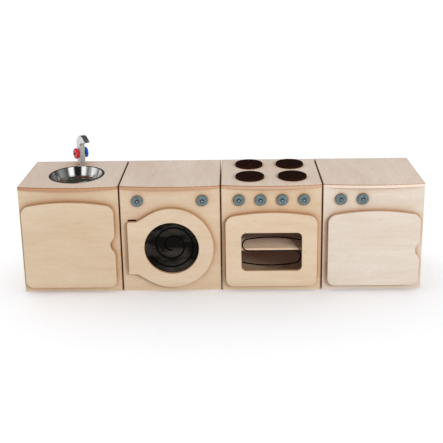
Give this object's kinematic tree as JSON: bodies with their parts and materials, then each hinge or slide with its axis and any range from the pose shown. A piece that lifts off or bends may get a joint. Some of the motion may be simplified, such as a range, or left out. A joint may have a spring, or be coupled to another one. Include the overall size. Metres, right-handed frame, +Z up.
{
  "type": "toy kitchen",
  "caption": "Row of low wooden play cabinets: sink with tap and lift-out bowl, washing machine, cooker with hob and dishwasher, with hinged doors and turning knobs.",
  "frame": {"origin": "floor level, middle of the row's width and of its depth with the door fronts", "axes": "+X along the row from the sink to the dishwasher, -Y out of the doors, +Z up"},
  "size_m": [1.6024, 0.35, 0.585],
  "materials": {
    "birch_ply": "clear matt lacquer over birch plywood",
    "birch_ply_door": "clear matt lacquer over birch plywood",
    "knob_blue_grey": "satin blue-grey with fine speckle",
    "zinc_steel": "bright zinc plated",
    "magnet_dark": "satin",
    "washer_dark": "black oxide",
    "tap_metal": "polished",
    "handle_red": "gloss",
    "handle_blue": "gloss",
    "polished_steel": "mirror polished stainless",
    "dark_pane": "smoked acrylic, nearly black",
    "smoked_pane": "lightly smoked acrylic",
    "hob_dark": "dark brown stain, satin lacquer"
  },
  "bodies": {
    "cabinets": {"sink_worktop": "birch_ply", "sink_left_side": "birch_ply", "sink_right_side": "birch_ply", "sink_base": "birch_ply", "sink_back": "birch_ply", "sink_front_panel": "birch_ply", "washer_worktop": "birch_ply", "washer_left_side": "birch_ply", "washer_right_side": "birch_ply", "washer_base": "birch_ply", "washer_back": "birch_ply", "washer_front_panel": "birch_ply", "cooker_worktop": "birch_ply", "cooker_left_side": "birch_ply", "cooker_right_side": "birch_ply", "cooker_base": "birch_ply", "cooker_back": "birch_ply", "cooker_front_panel": "birch_ply", "dishwasher_worktop": "birch_ply", "dishwasher_left_side": "birch_ply", "dishwasher_right_side": "birch_ply", "dishwasher_base": "birch_ply", "dishwasher_back": "birch_ply", "dishwasher_front_panel": "birch_ply", "hinge_cabinet_leaves": "zinc_steel", "hinge_pins": "zinc_steel", "hinge_screws": "zinc_steel", "door_magnets": "magnet_dark", "knob_screws": "zinc_steel", "knob_washers": "washer_dark", "back_screws": "zinc_steel", "unit_connectors": "zinc_steel", "hob_plates": "hob_dark", "oven_shelf": "birch_ply", "oven_shelf_battens": "birch_ply"},
    "sink_door": {"sink_door": "birch_ply_door", "sink_door_fittings": "zinc_steel"},
    "washer_door": {"washer_door": "birch_ply_door", "washer_door_fittings": "zinc_steel", "washer_window": "dark_pane"},
    "cooker_door": {"cooker_door": "birch_ply_door", "cooker_door_fittings": "zinc_steel", "oven_window": "smoked_pane"},
    "dishwasher_door": {"dishwasher_door": "birch_ply_door", "dishwasher_door_fittings": "zinc_steel"},
    "washer_knob_1": {"washer_knob_1": "knob_blue_grey"},
    "washer_knob_2": {"washer_knob_2": "knob_blue_grey"},
    "cooker_knob_1": {"cooker_knob_1": "knob_blue_grey"},
    "cooker_knob_2": {"cooker_knob_2": "knob_blue_grey"},
    "cooker_knob_3": {"cooker_knob_3": "knob_blue_grey"},
    "cooker_knob_4": {"cooker_knob_4": "knob_blue_grey"},
    "dishwasher_knob_1": {"dishwasher_knob_1": "knob_blue_grey"},
    "dishwasher_knob_2": {"dishwasher_knob_2": "knob_blue_grey"},
    "tap": {"tap_spout": "tap_metal", "tap_stud": "zinc_steel", "tap_nut": "zinc_steel", "tap_handle_screws": "zinc_steel"},
    "tap_handle_hot": {"tap_handle_hot": "handle_red"},
    "tap_handle_cold": {"tap_handle_cold": "handle_blue"},
    "sink_bowl": {"sink_bowl": "polished_steel"}
  },
  "joints": [
    {"name": "sink_door_hinge", "type": "hinge", "parent": "cabinets", "child": "sink_door", "pos_m": [-0.79125, -0.1575, 0.2], "axis": [0, 0, -1], "range_deg": [0, 95]},
    {"name": "washer_door_hinge", "type": "hinge", "parent": "cabinets", "child": "washer_door", "pos_m": [-0.37225, -0.1575, 0.2], "axis": [0, 0, -1], "range_deg": [0, 95]},
    {"name": "cooker_door_hinge", "type": "hinge", "parent": "cabinets", "child": "cooker_door", "pos_m": [0.01725, -0.1575, 0.2], "axis": [0, 0, -1], "range_deg": [0, 95]},
    {"name": "dishwasher_door_hinge", "type": "hinge", "parent": "cabinets", "child": "dishwasher_door", "pos_m": [0.42375, -0.1575, 0.2], "axis": [0, 0, -1], "range_deg": [0, 95]},
    {"name": "washer_knob_1_turn", "type": "hinge", "parent": "cabinets", "child": "washer_knob_1", "pos_m": [-0.329, -0.16, 0.3875], "axis": [0, -1, 0], "continuous": true},
    {"name": "washer_knob_2_turn", "type": "hinge", "parent": "cabinets", "child": "washer_knob_2", "pos_m": [-0.0725, -0.16, 0.3875], "axis": [0, -1, 0], "continuous": true},
    {"name": "cooker_knob_1_turn", "type": "hinge", "parent": "cabinets", "child": "cooker_knob_1", "pos_m": [0.0725, -0.16, 0.3875], "axis": [0, -1, 0], "continuous": true},
    {"name": "cooker_knob_2_turn", "type": "hinge", "parent": "cabinets", "child": "cooker_knob_2", "pos_m": [0.158, -0.16, 0.3875], "axis": [0, -1, 0], "continuous": true},
    {"name": "cooker_knob_3_turn", "type": "hinge", "parent": "cabinets", "child": "cooker_knob_3", "pos_m": [0.2435, -0.16, 0.3875], "axis": [0, -1, 0], "continuous": true},
    {"name": "cooker_knob_4_turn", "type": "hinge", "parent": "cabinets", "child": "cooker_knob_4", "pos_m": [0.329, -0.16, 0.3875], "axis": [0, -1, 0], "continuous": true},
    {"name": "dishwasher_knob_1_turn", "type": "hinge", "parent": "cabinets", "child": "dishwasher_knob_1", "pos_m": [0.474, -0.16, 0.3875], "axis": [0, -1, 0], "continuous": true},
    {"name": "dishwasher_knob_2_turn", "type": "hinge", "parent": "cabinets", "child": "dishwasher_knob_2", "pos_m": [0.5595, -0.16, 0.3875], "axis": [0, -1, 0], "continuous": true},
    {"name": "tap_swivel", "type": "hinge", "parent": "cabinets", "child": "tap", "pos_m": [-0.60025, 0.133, 0.45], "axis": [0, 0, 1], "continuous": true},
    {"name": "tap_handle_hot_turn", "type": "hinge", "parent": "tap", "child": "tap_handle_hot", "pos_m": [-0.60025, 0.133, 0.501], "axis": [0.8387, 0.5446, 0], "continuous": true},
    {"name": "tap_handle_cold_turn", "type": "hinge", "parent": "tap", "child": "tap_handle_cold", "pos_m": [-0.60025, 0.133, 0.501], "axis": [0.8387, 0.5446, 0], "continuous": true},
    {"name": "sink_bowl_lift", "type": "slide", "parent": "cabinets", "child": "sink_bowl", "axis": [0, 0, 1], "range_m": [0, 0.025]}
  ]
}
